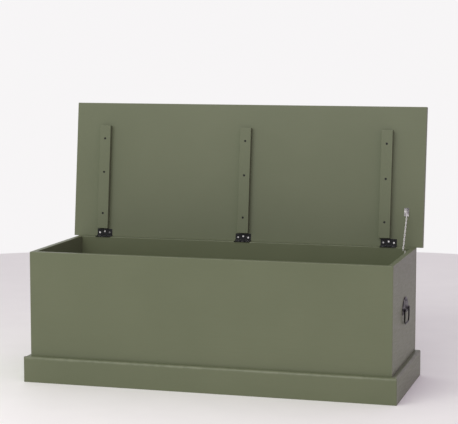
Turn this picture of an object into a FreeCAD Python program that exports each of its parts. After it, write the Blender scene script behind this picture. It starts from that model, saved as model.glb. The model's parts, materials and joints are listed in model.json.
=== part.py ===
import FreeCAD, Part
import Sketcher
import math
import os

from FreeCAD import Placement, Rotation, Vector

# A long, low wooden toy box: a body of butt-jointed boards with a plinth round its foot, a lid on three butt
# hinges that stands open a little past vertical, a chain stay at its right-hand end and a drop handle at each
# end. Millimetres, +Z up, front towards -Y. The origin is the centre of the body's footprint, on the floor.

X_AXIS = Vector(1, 0, 0)
Y_AXIS = Vector(0, 1, 0)
Z_AXIS = Vector(0, 0, 1)

doc = FreeCAD.newDocument("ToyBox")
sheet = doc.addObject("Spreadsheet::Sheet", "Sizes")

SIZES = (
    # the body and its boards
    ("body_length", 1200, "outside length of the boards"),
    ("body_depth", 445, "outside depth of the boards"),
    ("body_height", 430, "floor to rim"),
    ("board", 18, "thickness of the boards"),
    ("bottom_board", 12, "thickness of the bottom board"),
    ("bottom_height", 50, "floor to the underside of the bottom board"),
    ("bottom_gap", 0.5, "gap round the bottom board"),
    ("cleat", 25, "section of the cleats under the bottom board"),
    ("bearer_width", 44, "width of the centre bearer"),
    ("plinth_board", 18, "thickness of the plinth"),
    ("plinth_height", 85, "height of the plinth"),
    ("plinth_round", 9, "radius of the plinth's outer top edge"),
    ("dowel_radius", 4, "corner dowels"),
    ("dowel_in_face", 12, "depth of a dowel in a board's face"),
    ("dowel_in_end", 24, "depth of a dowel in a board's end"),
    ("dowel_gap", 1, "room for glue at each end of a dowel"),
    # the lid
    ("lid_board", 18, "thickness of the lid"),
    ("lid_side_over", 20, "overhang of the lid past each end of the body"),
    ("lid_front_over", 19, "overhang of the lid past the front"),
    ("lid_back_over", 5.5, "overhang of the closed lid past the back"),
    ("lid_open_angle", 96.6, "turn of the open lid from level"),
    ("lid_rest_angle", 0.6, "further turn that brings the closed lid's front edge down to the rim"),
    ("batten_width", 38, "width of a lid batten"),
    ("batten_board", 18, "thickness of a lid batten"),
    ("batten_back", 23, "back of the body to a batten, along the closed lid"),
    ("batten_front", 80, "front edge of the lid to a batten"),
    ("batten_left_inset", 111, "left end of the lid to the left batten's middle"),
    ("batten_right_inset", 129, "right end of the lid to the right batten's middle"),
    ("batten_middle", 0.7, "middle of the lid to the middle batten's middle"),
    # the hinges
    ("hinge_length", 54, "length of a hinge along its pin"),
    ("hinge_inset", 95, "end of the body to a hinge's middle"),
    ("leaf_width", 21, "back of the body to a leaf's free edge"),
    ("leaf_board", 2, "thickness of a leaf"),
    ("knuckle_radius", 2.5, "outside of the knuckles"),
    ("knuckle_out", 2, "pin behind the back of the body"),
    ("knuckle_clear", 0.2, "air between the knuckles and the level of the rim"),
    ("knuckle_gap", 0.3, "play between knuckles, and between a knuckle and the other leaf"),
    ("pin_radius", 1.2, "hinge pin"),
    ("pin_play", 0.05, "radial play round a hinge pin"),
    ("pin_head_radius", 1.9, "head of a hinge pin"),
    ("pin_head", 0.8, "thickness of a pin's head"),
    # the drop handles
    ("handle_height", 262, "floor to the handle's pivot"),
    ("plate_width", 100, "width of a handle plate"),
    ("plate_low", 14, "pivot down to the plate's foot"),
    ("plate_shoulder", 6, "pivot up to the plate's shoulders"),
    ("plate_crown", 38, "pivot up to the top of the plate's arch"),
    ("plate_board", 3, "thickness of a handle plate"),
    ("lug_middle", 31, "middle of the plate to a lug's middle"),
    ("lug_width", 10, "width of a lug"),
    ("lug_radius", 4.6, "outside of a lug"),
    ("pivot_out", 6.6, "pivot out from the wood"),
    ("bail_radius", 2.3, "bar of the bail"),
    ("bail_play", 0.08, "radial play of the bail in its lugs"),
    ("bail_arm", 40.5, "middle of the plate to an arm of the bail"),
    ("bail_elbow", 4, "bend between a pivot and an arm"),
    ("bail_bend", 19, "bend between an arm and the grip"),
    ("bail_drop", 45, "pivot down to the grip"),
    # the chain stay
    ("stay_forward", 105, "back of the body forward to the stay's post"),
    ("stay_down", 73, "rim down to the stay's post"),
    ("stay_along", 112, "back of the body to the stay's eye, along the closed lid"),
    ("stay_eye_inset", 17, "inner face of the right side to the stay's eye"),
    ("stay_post_inset", 10, "inner face of the right side to the lower chain"),
    ("stay_plate_width", 16, "width of a stay plate"),
    ("stay_plate_length", 28, "length of a stay plate"),
    ("stay_plate_shift", 3, "middle of the lid's stay plate, inwards from its eye"),
    ("stay_plate", 1.5, "thickness of a stay plate"),
    ("stay_eye_height", 8, "lid to the middle of the eye's bar"),
    ("stay_eye_radius", 3.5, "bend of the eye"),
    ("stay_bar_radius", 1.2, "bar of the eye, and the post"),
    ("stay_post_head", 3.1, "head of the post"),
    ("link_wire", 0.7, "radius of the chain's wire"),
    ("link_width", 2.2, "inside width of a link"),
    ("link_length", 7.4, "inside length of a link, near enough"),
    ("end_link_radius", 1.9, "inside radius of the link at each fitting"),
    ("end_link_straight", 5, "straight of the link at each fitting"),
    ("lower_links", 10, "links of the lower chain"),
    # the screws
    ("wood_screw_head", 3.8, "head radius of the screws in the wood"),
    ("wood_screw_shank", 1.9, "shank radius of the screws in the wood"),
    ("cleat_screw_length", 35, "cleat screws"),
    ("batten_screw_length", 28, "batten screws"),
    ("batten_screw_sink", 2, "depth of a batten screw's head in its batten"),
    ("batten_screw_back", 53, "hinge end of a batten to its first screw"),
    ("batten_screw_front", 45.5, "front end of a batten to its last screw"),
    ("batten_screw_middle", 13.5, "middle screw, forward of halfway between the others"),
    ("hinge_screw_head", 3.0, "head radius of the hinge screws"),
    ("hinge_screw_shank", 1.5, "shank radius of the hinge screws"),
    ("hinge_screw_length", 14, "hinge screws"),
    ("hinge_screw_spread", 18, "hinge's middle to its outer screws"),
    ("hinge_screw_near", 8, "back of the body to the outer screws"),
    ("hinge_screw_far", 12, "back of the body to the middle screw"),
    ("plate_screw_head", 3.4, "head radius of the handle screws"),
    ("plate_screw_shank", 1.7, "shank radius of the handle screws"),
    ("plate_screw_length", 17, "handle screws"),
    ("plate_screw_high", 27.4, "pivot up to the top handle screw"),
    ("stay_screw_head", 2.4, "head radius of the stay screws"),
    ("stay_screw_shank", 1.2, "shank radius of the stay screws"),
    ("stay_screw_length", 11, "stay screws"),
    ("stay_screw_spread", 9.5, "fitting's middle to its screws"),
)
for row, (alias, number, note) in enumerate(SIZES, start=1):
    sheet.set("A%d" % row, alias)
    sheet.set("B%d" % row, str(number))
    sheet.set("C%d" % row, note)
    sheet.setAlias("B%d" % row, alias)
doc.recompute()

# the pin's height over the rim, which is also its distance from the lid
PIN_RISE = "(Sizes.knuckle_radius + Sizes.knuckle_clear)"

NODES = []


def size(alias):
    """One cell of the sheet, as a number."""
    return float(getattr(sheet, alias))


def worth(expression):
    """An expression's present value, as a number."""
    return float(sheet.evalExpression(expression))


def bind(feature, **expressions):
    """Binds properties to expressions; a double underscore in a name stands for a dot."""
    for name, expression in expressions.items():
        feature.setExpression(name.replace("__", "."), expression)


def node(feature, label):
    """Names a feature as one of the box's own pieces."""
    feature.Label = label
    NODES.append(feature)
    return feature


def box(name, lengths, corner):
    """A Part::Box with each length and each coordinate of its corner bound."""
    solid = doc.addObject("Part::Box", name)
    bind(solid, Length=lengths[0], Width=lengths[1], Height=lengths[2])
    bind(solid, Placement__Base__x=corner[0], Placement__Base__y=corner[1], Placement__Base__z=corner[2])
    return solid


def cylinder(name, radius, length, start, axis):
    """A Part::Cylinder from a bound start point along an axis."""
    solid = doc.addObject("Part::Cylinder", name)
    solid.Placement = Placement(Vector(), Rotation(Z_AXIS, axis))
    bind(solid, Radius=radius, Height=length)
    bind(solid, Placement__Base__x=start[0], Placement__Base__y=start[1], Placement__Base__z=start[2])
    return solid


def fuse(name, shapes):
    solid = doc.addObject("Part::MultiFuse", name)
    solid.Shapes = shapes
    solid.Refine = True
    return solid


def group(name, solids):
    gathered = doc.addObject("Part::Compound", name)
    gathered.Links = solids
    return gathered


def cut(name, base, tools):
    """The base less one tool or several that stay apart."""
    solid = doc.addObject("Part::Cut", name)
    solid.Base = base
    solid.Tool = tools[0] if len(tools) == 1 else group(name + "_tools", tools)
    return solid


def on_lid(feature):
    """Lid pieces are drawn from the hinge pin with the lid closed; this opens them to where the lid stands."""
    feature.Placement = Placement(Vector(), Rotation(-X_AXIS, size("lid_open_angle")))
    bind(
        feature,
        Placement__Base__y="Sizes.body_depth / 2 + Sizes.knuckle_out",
        Placement__Base__z="Sizes.body_height + %s" % PIN_RISE,
        Placement__Rotation__Angle="Sizes.lid_open_angle",
    )
    return feature


# ---------------------------------------------------------------------------------------------------- fasteners


LAND = 0.3  # straight rim of a screw's head
DOME = 0.55  # height of a domed head, as a share of its radius
RECESS_WIDTH = 0.28  # cross recess, as shares of the head's radius
RECESS_LENGTH = 1.15
RECESS_DEPTH = 0.45


def screw_shapes(kind, length, domed, sink):
    """A cross-recessed wood screw pointing down from its head's rim at the origin, and the hole it needs."""
    head = size(kind + "_screw_head")
    shank = size(kind + "_screw_shank")
    crown = DOME * head if domed else 0.0
    top = Vector(0, 0, crown)
    rim = Vector(head, 0, 0)
    if domed:
        middle = Vector(head * math.cos(math.pi / 4), 0, crown * math.sin(math.pi / 4))
        edges = [Part.Arc(top, middle, rim).toShape()]
        outline = [rim, Vector(shank, 0, 0)]
    else:
        edges = [Part.makeLine(top, rim)]
        outline = [rim, Vector(head, 0, -LAND), Vector(shank, 0, shank - head - LAND)]
    outline += [Vector(shank, 0, 2 * shank - length), Vector(0, 0, -length), top]
    edges += [Part.makeLine(a, b) for a, b in zip(outline, outline[1:])]
    whole = Part.Face(Part.Wire(edges)).revolve(Vector(), Z_AXIS, 360)
    arms = (RECESS_LENGTH * head, RECESS_WIDTH * head)
    depth = RECESS_DEPTH * head
    recess = [
        Part.makeBox(a, b, crown + depth, Vector(-a / 2, -b / 2, -depth)) for a, b in (arms, arms[::-1])
    ]
    screw = whole.cut(recess[0].fuse(recess[1]))
    hole = whole
    if sink:
        hole = hole.fuse(Part.makeCylinder(head, 2 * sink)).removeSplitter()
    for shape in (screw, hole):
        shape.translate(Vector(0, 0, -sink))
    return screw, hole


def screws(label, kind, length, places, domed=False, sink=0.0):
    """A group of like screws and the group of their holes; each place is a point and a direction."""
    screw, hole = screw_shapes(kind, length, domed, sink)
    groups = []
    for name, shape in ((label, screw), (label + "_holes", hole)):
        copies = []
        for point, direction in places:
            copy = shape.copy()
            copy.Placement = Placement(point, Rotation(-Z_AXIS, direction)) * copy.Placement
            copies.append(copy)
        feature = doc.addObject("Part::Feature", name)
        feature.Shape = Part.makeCompound(copies)
        groups.append(feature)
    node(groups[0], label)
    return groups


def spread(count, start, end):
    """Evenly spaced places, half a space in from each end."""
    step = (end - start) / count
    return [start + step * (i + 0.5) for i in range(count)]


# --------------------------------------------------------------------------------------------------- the boards

HALF_LENGTH = size("body_length") / 2
HALF_DEPTH = size("body_depth") / 2
INNER_X = HALF_LENGTH - size("board")
INNER_Y = HALF_DEPTH - size("board")
SIDES = (("left", -1), ("right", 1))
ENDS = (("front", -1), ("back", 1))
DOWELS = 4


def corner_dowels(end, end_sign, side, side_sign):
    """Four dowels that pin an end of a side board to the front or back board, and their holes."""
    start = "%d * (Sizes.body_depth / 2 - Sizes.board + %%s)" % end_sign
    middle = "%d * (Sizes.body_length - Sizes.board) / 2" % side_sign
    pins = []
    holes = []
    for i in range(DOWELS):
        height = "Sizes.body_height * %d / %d" % (2 * i + 1, 2 * DOWELS)
        name = "dowel_%s_%s_%d" % (end, side, i + 1)
        whole = "Sizes.dowel_in_face + Sizes.dowel_in_end"
        pin_at = (middle, start % "Sizes.dowel_in_face", height)
        hole_at = (middle, start % "Sizes.dowel_in_face + Sizes.dowel_gap", height)
        inward = -end_sign * Y_AXIS
        pins.append(cylinder(name, "Sizes.dowel_radius", whole, pin_at, inward))
        long = whole + " + 2 * Sizes.dowel_gap"
        holes.append(cylinder(name + "_hole", "Sizes.dowel_radius", long, hole_at, inward))
    node(group("dowels_%s_%s" % (end, side), pins), "dowels_%s_%s" % (end, side))
    return group("dowel_holes_%s_%s" % (end, side), holes)


def cleat_screw_places():
    """Where the cleat screws go: the point on each cleat's inner face, and the way outwards."""
    height = size("bottom_height") - size("cleat") / 2
    across = INNER_Y - size("cleat")
    along = INNER_X - size("cleat")
    places = {}
    for end, sign in ENDS:
        places[end] = [(Vector(x, sign * across, height), sign * Y_AXIS) for x in spread(5, -along, along)]
    for side, sign in SIDES:
        places[side] = [(Vector(sign * along, y, height), sign * X_AXIS) for y in spread(2, -across, across)]
    return places


def cleats_and_boards(stay_holes, handle_holes):
    dowel_holes = {
        (end, side): corner_dowels(end, end_sign, side, side_sign)
        for end, end_sign in ENDS
        for side, side_sign in SIDES
    }
    places = cleat_screw_places()
    every_place = [place for name in ("front", "back", "left", "right") for place in places[name]]
    _, cleat_holes = screws("cleat_screws", "wood", size("cleat_screw_length"), every_place)

    for end, sign in ENDS:
        corner_y = "-Sizes.body_depth / 2" if sign < 0 else "Sizes.body_depth / 2 - Sizes.board"
        lengths = ("Sizes.body_length", "Sizes.board", "Sizes.body_height")
        board = box(end + "_board_blank", lengths, ("-Sizes.body_length / 2", corner_y, "0"))
        tools = [cleat_holes, dowel_holes[end, "left"], dowel_holes[end, "right"]]
        if end == "back":
            tools.append(hinge_holes["lower"])
        node(cut(end + "_board", board, tools), end + "_board")

        corner_y = "%d * Sizes.body_depth / 2 + Sizes.board" % sign
        if sign > 0:
            corner_y = "Sizes.body_depth / 2 - Sizes.board - Sizes.cleat"
        lengths = ("Sizes.body_length - 2 * Sizes.board", "Sizes.cleat", "Sizes.cleat")
        corner = ("-Sizes.body_length / 2 + Sizes.board", corner_y, "Sizes.bottom_height - Sizes.cleat")
        node(cut("cleat_" + end, box(end + "_cleat_blank", lengths, corner), [cleat_holes]), "cleat_" + end)

    for side, sign in SIDES:
        corner_x = "-Sizes.body_length / 2" if sign < 0 else "Sizes.body_length / 2 - Sizes.board"
        lengths = ("Sizes.board", "Sizes.body_depth - 2 * Sizes.board", "Sizes.body_height")
        board = box(side + "_board_blank", lengths, (corner_x, "-Sizes.body_depth / 2 + Sizes.board", "0"))
        tools = [cleat_holes, dowel_holes["front", side], dowel_holes["back", side], handle_holes[side]]
        if side == "right":
            tools.append(stay_holes)
        node(cut(side + "_side_board", board, tools), side + "_side_board")

        corner_x = "-Sizes.body_length / 2 + Sizes.board"
        if sign > 0:
            corner_x = "Sizes.body_length / 2 - Sizes.board - Sizes.cleat"
        lengths = ("Sizes.cleat", "Sizes.body_depth - 2 * (Sizes.board + Sizes.cleat)", "Sizes.cleat")
        corner = (
            corner_x,
            "-Sizes.body_depth / 2 + Sizes.board + Sizes.cleat",
            "Sizes.bottom_height - Sizes.cleat",
        )
        node(cut("cleat_" + side, box(side + "_cleat_blank", lengths, corner), [cleat_holes]), "cleat_" + side)

    inset = "(Sizes.board + Sizes.bottom_gap)"
    lengths = ("Sizes.body_length - 2 * " + inset, "Sizes.body_depth - 2 * " + inset, "Sizes.bottom_board")
    corner = (
        "-Sizes.body_length / 2 + " + inset,
        "-Sizes.body_depth / 2 + " + inset,
        "Sizes.bottom_height",
    )
    node(box("bottom_board_blank", lengths, corner), "bottom_panel")

    lengths = (
        "Sizes.bearer_width",
        "Sizes.body_depth - 2 * (Sizes.board + Sizes.cleat)",
        "Sizes.bottom_height",
    )
    corner = ("-Sizes.bearer_width / 2", "-Sizes.body_depth / 2 + Sizes.board + Sizes.cleat", "0")
    node(box("bearer", lengths, corner), "centre_bearer")


# --------------------------------------------------------------------------------------------------- the plinth


def origin_plane(body, role):
    return next(plane for plane in body.Origin.OriginFeatures if plane.Role == role)


def sketch(body, name, role):
    drawn = body.newObject("Sketcher::SketchObject", name)
    drawn.AttachmentSupport = [(origin_plane(body, role), "")]
    drawn.MapMode = "FlatFace"
    return drawn


def pin_point(drawn, geometry, end, across, up):
    """Holds one point of a sketch at bound distances from the sketch's origin."""
    for kind, expression in (("DistanceX", across), ("DistanceY", up)):
        index = drawn.addConstraint(Sketcher.Constraint(kind, -1, 1, geometry, end, worth(expression)))
        drawn.setExpression("Constraints[%d]" % index, expression)


def outline(drawn, points):
    """A closed polygon through bound points."""
    places = [Vector(*(worth(e) for e in point), 0) for point in points]
    for i, place in enumerate(places):
        drawn.addGeometry(Part.LineSegment(place, places[(i + 1) % len(places)]))
    for i in range(len(places)):
        following = (i + 1) % len(places)
        drawn.addConstraint(Sketcher.Constraint("Coincident", i, 2, following, 1))
        pin_point(drawn, i, 1, *points[i])


def pad(body, name, profile, length):
    feature = body.newObject("PartDesign::Pad", name)
    feature.Profile = profile
    bind(feature, Length=length)
    return feature


def plinth_board(label, points):
    """A plinth board from its plan, with its outer top edge rounded; its first two points are that edge."""
    body = doc.addObject("PartDesign::Body", label + "_body")
    plan = sketch(body, label + "_plan", "XY_Plane")
    outline(plan, points)
    raised = pad(body, label + "_pad", plan, "Sizes.plinth_height")
    doc.recompute()
    start, end = (Vector(*(worth(e) for e in point), size("plinth_height")) for point in points[:2])
    outer_top = next(
        i
        for i, edge in enumerate(raised.Shape.Edges, start=1)
        if all(min((v.Point - end_point).Length for v in edge.Vertexes) < 1e-6 for end_point in (start, end))
    )
    rounded = body.newObject("PartDesign::Fillet", label + "_round")
    rounded.Base = (raised, ["Edge%d" % outer_top])
    bind(rounded, Radius="Sizes.plinth_round")
    node(body, label)


def plinth():
    """Three boards, mitred at the two front corners, that end level with the body's back."""
    body_x = "Sizes.body_length / 2"
    outer_x = "(Sizes.body_length / 2 + Sizes.plinth_board)"
    front = "-Sizes.body_depth / 2"
    outer_front = "-(Sizes.body_depth / 2 + Sizes.plinth_board)"
    back = "Sizes.body_depth / 2"
    plinth_board(
        "plinth_front",
        (("-" + outer_x, outer_front), (outer_x, outer_front), (body_x, front), ("-" + body_x, front)),
    )
    plinth_board(
        "plinth_left",
        (("-" + outer_x, back), ("-" + outer_x, outer_front), ("-" + body_x, front), ("-" + body_x, back)),
    )
    plinth_board("plinth_right", ((outer_x, outer_front), (outer_x, back), (body_x, back), (body_x, front)))


# -------------------------------------------------------------------------------------------------- the hinges

KNUCKLES = 5
HINGES = (("left", -1), ("middle", 0), ("right", 1))


def hinge_screw_points(sign):
    """The three screw places of one leaf, measured along the pin and in from the board's edge."""
    middle = sign * (HALF_LENGTH - size("hinge_inset"))
    spread_out = size("hinge_screw_spread")
    near = size("hinge_screw_near")
    return [(middle - spread_out, near), (middle, size("hinge_screw_far")), (middle + spread_out, near)]


def hinge_screws():
    """Screws of the lower leaves, down into the back board, and of the upper leaves, up into the lid."""
    leaf_top = size("body_height") + size("leaf_board")
    under_lid = worth(PIN_RISE) - size("leaf_board")
    lower = []
    upper = []
    for _, sign in HINGES:
        for x, inwards in hinge_screw_points(sign):
            lower.append((Vector(x, HALF_DEPTH - inwards, leaf_top), -Z_AXIS))
            upper.append((Vector(x, -size("knuckle_out") - inwards, under_lid), Z_AXIS))
    length = size("hinge_screw_length")
    _, lower_holes = screws("hinge_lower_screws", "hinge", length, lower)
    upper_screws, upper_holes = screws("hinge_upper_screws", "hinge", length, upper)
    on_lid(upper_screws)
    return {"lower": lower_holes, "upper": upper_holes}


def leaf(name, place, first, up):
    """A leaf drawn from the pin: a plate, a tab and a knuckle at every other place, less the pin's bore."""
    middle = "%d * (Sizes.body_length / 2 - Sizes.hinge_inset)" % place
    knuckle = "((Sizes.hinge_length - %d * Sizes.knuckle_gap) / %d)" % (KNUCKLES - 1, KNUCKLES)
    start = "%s - Sizes.hinge_length / 2" % middle
    low = "%s - Sizes.leaf_board" % PIN_RISE if up > 0 else "-%s" % PIN_RISE
    clear = "(Sizes.knuckle_radius + Sizes.knuckle_gap)"
    plate_width = "Sizes.leaf_width + Sizes.knuckle_out - " + clear
    plate_at = (start, "-Sizes.leaf_width - Sizes.knuckle_out", low)
    pieces = [box(name + "_plate", ("Sizes.hinge_length", plate_width, "Sizes.leaf_board"), plate_at)]
    for i in range(first, KNUCKLES, 2):
        at = "%s + %d * (%s + Sizes.knuckle_gap)" % (start, i, knuckle)
        tab_at = (at, "-%s - Sizes.leaf_board" % clear, low)
        tab = (knuckle, clear + " + Sizes.leaf_board", "Sizes.leaf_board")
        pieces.append(box("%s_tab_%d" % (name, i), tab, tab_at))
        pieces.append(
            cylinder("%s_knuckle_%d" % (name, i), "Sizes.knuckle_radius", knuckle, (at, "0", "0"), X_AXIS)
        )
    bore = cylinder(
        name + "_bore",
        "Sizes.pin_radius + Sizes.pin_play",
        "Sizes.hinge_length + 2",
        (start + " - 1", "0", "0"),
        X_AXIS,
    )
    return cut(name + "_bored", fuse(name + "_whole", pieces), [bore])


def hinges(holes):
    """Three butt hinges: a lower leaf on the back board's edge, an upper leaf under the lid, and a pin."""
    for name, sign in HINGES:
        lower = leaf("hinge_%s_lower" % name, sign, 0, -1)
        lower.Placement = Placement()
        bind(
            lower,
            Placement__Base__y="Sizes.body_depth / 2 + Sizes.knuckle_out",
            Placement__Base__z="Sizes.body_height + %s" % PIN_RISE,
        )
        node(cut("hinge_%s_lower_leaf" % name, lower, [holes["lower"]]), "hinge_%s_lower_leaf" % name)
        upper = leaf("hinge_%s_upper" % name, sign, 1, 1)
        opened = cut("hinge_%s_upper_leaf" % name, upper, [holes["upper"]])
        node(on_lid(opened), "hinge_%s_upper_leaf" % name)

        start = "%d * (Sizes.body_length / 2 - Sizes.hinge_inset) - Sizes.hinge_length / 2" % sign
        pin_y = "Sizes.body_depth / 2 + Sizes.knuckle_out"
        pin_z = "Sizes.body_height + %s" % PIN_RISE
        pieces = [
            cylinder(
                "pin_%s_bar" % name,
                "Sizes.pin_radius",
                "Sizes.hinge_length + Sizes.pin_head",
                (start + " - Sizes.pin_head / 2", pin_y, pin_z),
                X_AXIS,
            ),
            cylinder(
                "pin_%s_left_head" % name,
                "Sizes.pin_head_radius",
                "Sizes.pin_head",
                (start + " - Sizes.pin_head", pin_y, pin_z),
                X_AXIS,
            ),
            cylinder(
                "pin_%s_right_head" % name,
                "Sizes.pin_head_radius",
                "Sizes.pin_head",
                (start + " + Sizes.hinge_length", pin_y, pin_z),
                X_AXIS,
            ),
        ]
        node(fuse("hinge_%s_pin" % name, pieces), "hinge_%s_pin" % name)


# ----------------------------------------------------------------------------------------------------- the lid

LID_REACH = "(Sizes.knuckle_out + Sizes.body_depth + Sizes.lid_front_over)"
BATTENS = (
    ("left", "-Sizes.body_length / 2 - Sizes.lid_side_over + Sizes.batten_left_inset"),
    ("middle", "Sizes.batten_middle"),
    ("right", "Sizes.body_length / 2 + Sizes.lid_side_over - Sizes.batten_right_inset"),
)


def lid(hinge_upper_holes, stay_lid_holes):
    """The lid panel and its battens, drawn closed, from the hinge pin."""
    first = -size("knuckle_out") - size("batten_back") - size("batten_screw_back")
    last = -worth(LID_REACH) + size("batten_front") + size("batten_screw_front")
    screw_rows = (first, (first + last) / 2 - size("batten_screw_middle"), last)
    under_batten = worth(PIN_RISE) - size("batten_board")
    places = [(Vector(worth(middle), y, under_batten), Z_AXIS) for _, middle in BATTENS for y in screw_rows]
    batten_screws, batten_holes = screws(
        "batten_screws", "wood", size("batten_screw_length"), places, sink=size("batten_screw_sink")
    )
    on_lid(batten_screws)

    lengths = (
        "Sizes.body_length + 2 * Sizes.lid_side_over",
        LID_REACH + " - Sizes.knuckle_out + Sizes.lid_back_over",
        "Sizes.lid_board",
    )
    corner = ("-Sizes.body_length / 2 - Sizes.lid_side_over", "-" + LID_REACH, PIN_RISE)
    tools = [batten_holes, hinge_upper_holes, stay_lid_holes]
    node(on_lid(cut("lid_panel", box("lid_blank", lengths, corner), tools)), "lid_panel")

    for name, middle in BATTENS:
        lengths = (
            "Sizes.batten_width",
            LID_REACH + " - Sizes.knuckle_out - Sizes.batten_back - Sizes.batten_front",
            "Sizes.batten_board",
        )
        corner = (
            middle + " - Sizes.batten_width / 2",
            "-%s + Sizes.batten_front" % LID_REACH,
            PIN_RISE + " - Sizes.batten_board",
        )
        batten = cut("lid_batten_" + name, box("batten_%s_blank" % name, lengths, corner), [batten_holes])
        node(on_lid(batten), "lid_batten_" + name)


# -------------------------------------------------------------------------------------------------- the handles


def place_on_side(feature, sign):
    """Handle pieces are drawn from the pivot's foot on the wood, X outwards; the left one is turned about Z."""
    feature.Placement = Placement(Vector(), Rotation(Z_AXIS, 0 if sign > 0 else 180))
    bind(
        feature,
        Placement__Base__x="%d * Sizes.body_length / 2" % sign,
        Placement__Base__z="Sizes.handle_height",
    )
    return feature


def handle_screw_points():
    low = -size("plate_low") / 2
    return [(-size("lug_middle") / 2, low), (size("lug_middle") / 2, low), (0, size("plate_screw_high"))]


def handle_plate(side, sign, hole_pattern):
    """An arched cast plate with two lugs bored for the bail."""
    name = "handle_%s_plate" % side
    body = doc.addObject("PartDesign::Body", name + "_body")
    drawn = sketch(body, name + "_outline", "YZ_Plane")
    half = "Sizes.plate_width / 2"
    low = "-Sizes.plate_low"
    high = "Sizes.plate_shoulder"
    corners = [("-" + half, high), ("-" + half, low), (half, low), (half, high)]
    places = [Vector(*(worth(e) for e in point), 0) for point in corners]
    crown = Vector(0, size("plate_crown"), 0)
    for start, end in zip(places, places[1:]):
        drawn.addGeometry(Part.LineSegment(start, end))
    arch = drawn.addGeometry(Part.Arc(places[3], crown, places[0]))
    for i in (0, 1):
        drawn.addConstraint(Sketcher.Constraint("Coincident", i, 2, i + 1, 1))
    drawn.addConstraint(Sketcher.Constraint("Coincident", 2, 2, arch, 1))
    drawn.addConstraint(Sketcher.Constraint("Coincident", 0, 1, arch, 2))
    for i in range(3):
        pin_point(drawn, i, 1, *corners[i])
    pin_point(drawn, 2, 2, *corners[3])
    radius = "((Sizes.plate_width / 2)^2 + (Sizes.plate_crown - Sizes.plate_shoulder)^2)"
    radius += " / (2 * (Sizes.plate_crown - Sizes.plate_shoulder))"
    index = drawn.addConstraint(Sketcher.Constraint("Radius", arch, worth(radius)))
    drawn.setExpression("Constraints[%d]" % index, radius)
    raised = pad(body, name + "_pad", drawn, "Sizes.plate_board")
    doc.recompute()
    face = max(range(len(raised.Shape.Faces)), key=lambda i: raised.Shape.Faces[i].CenterOfMass.x)
    bevel = body.newObject("PartDesign::Chamfer", name + "_bevel")
    bevel.Base = (raised, ["Face%d" % (face + 1)])
    bind(bevel, Size="Sizes.plate_board / 3")
    pieces = [body]
    for end, at in (("back", 1), ("front", -1)):
        start = "%d * Sizes.lug_middle - Sizes.lug_width / 2" % at
        foot = ("Sizes.plate_board / 2", start, "-Sizes.lug_radius")
        lengths = ("Sizes.pivot_out - Sizes.plate_board / 2", "Sizes.lug_width", "2 * Sizes.lug_radius")
        pieces.append(box("%s_%s_foot" % (name, end), lengths, foot))
        at_pivot = ("Sizes.pivot_out", start, "0")
        pieces.append(
            cylinder("%s_%s_lug" % (name, end), "Sizes.lug_radius", "Sizes.lug_width", at_pivot, Y_AXIS)
        )
    bore_at = ("Sizes.pivot_out", "-Sizes.plate_width / 2 - 1", "0")
    bore = cylinder(
        name + "_bore", "Sizes.bail_radius + Sizes.bail_play", "Sizes.plate_width + 2", bore_at, Y_AXIS
    )
    whole = cut(name + "_bored", fuse(name + "_whole", pieces), [bore])
    node(place_on_side(cut(name, whole, [hole_pattern]), sign), name)


def handle_bail(side, sign):
    """A round bar bent into a drop handle: two pivots, two elbows, two arms and a grip."""
    name = "handle_%s_bail" % side
    body = doc.addObject("PartDesign::Body", name + "_body")
    arm = size("bail_arm")
    elbow = size("bail_elbow")
    bend = size("bail_bend")
    drop = size("bail_drop")
    inner = size("lug_middle") - size("lug_width") / 2
    spine = sketch(body, name + "_spine", "YZ_Plane")
    spine.AttachmentOffset = Placement(Vector(0, 0, size("pivot_out")), Rotation())
    spine.setExpression("AttachmentOffset.Base.z", "Sizes.pivot_out")
    slant = math.sqrt(0.5)
    for at in (1, -1):
        line_1 = (Vector(at * inner, 0, 0), Vector(at * (arm - elbow), 0, 0))
        line_2 = (Vector(at * arm, -elbow, 0), Vector(at * arm, bend - drop, 0))
        elbow_middle = Vector(at * (arm - elbow + elbow * slant), -elbow + elbow * slant, 0)
        bend_middle = Vector(at * (arm - bend + bend * slant), bend - drop - bend * slant, 0)
        grip_end = Vector(at * (arm - bend), -drop, 0)
        spine.addGeometry(Part.LineSegment(*line_1))
        spine.addGeometry(Part.Arc(line_1[1], elbow_middle, line_2[0]))
        spine.addGeometry(Part.LineSegment(*line_2))
        spine.addGeometry(Part.Arc(line_2[1], bend_middle, grip_end))
    spine.addGeometry(Part.LineSegment(Vector(arm - bend, -drop, 0), Vector(bend - arm, -drop, 0)))
    profile = sketch(body, name + "_bar", "XZ_Plane")
    profile.AttachmentOffset = Placement(Vector(size("pivot_out"), 0, -inner), Rotation())
    circle = profile.addGeometry(Part.Circle(Vector(), Z_AXIS, size("bail_radius")))
    profile.addConstraint(Sketcher.Constraint("Coincident", circle, 3, -1, 1))
    index = profile.addConstraint(Sketcher.Constraint("Radius", circle, size("bail_radius")))
    profile.setExpression("Constraints[%d]" % index, "Sizes.bail_radius")
    bent = body.newObject("PartDesign::AdditivePipe", name + "_pipe")
    bent.Profile = profile
    bent.Spine = spine
    node(place_on_side(body, sign), name)


def handles():
    """Both drop handles, with the holes that their screws need in the side boards."""
    wood_holes = {}
    for side, sign in SIDES:
        outer = size("plate_board")
        drawn = [(Vector(outer, y, z), -X_AXIS) for y, z in handle_screw_points()]
        length = size("plate_screw_length")
        label = "handle_%s_screws" % side
        group_of_screws, holes = screws(label, "plate", length, drawn, domed=True)
        handle_plate(side, sign, holes)
        handle_bail(side, sign)
        place_on_side(group_of_screws, sign)
        in_wood = doc.addObject("Part::Feature", label + "_wood_holes")
        in_wood.Shape = holes.Shape
        wood_holes[side] = place_on_side(in_wood, sign)
    return wood_holes


# ----------------------------------------------------------------------------------------------- the chain stay


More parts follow.
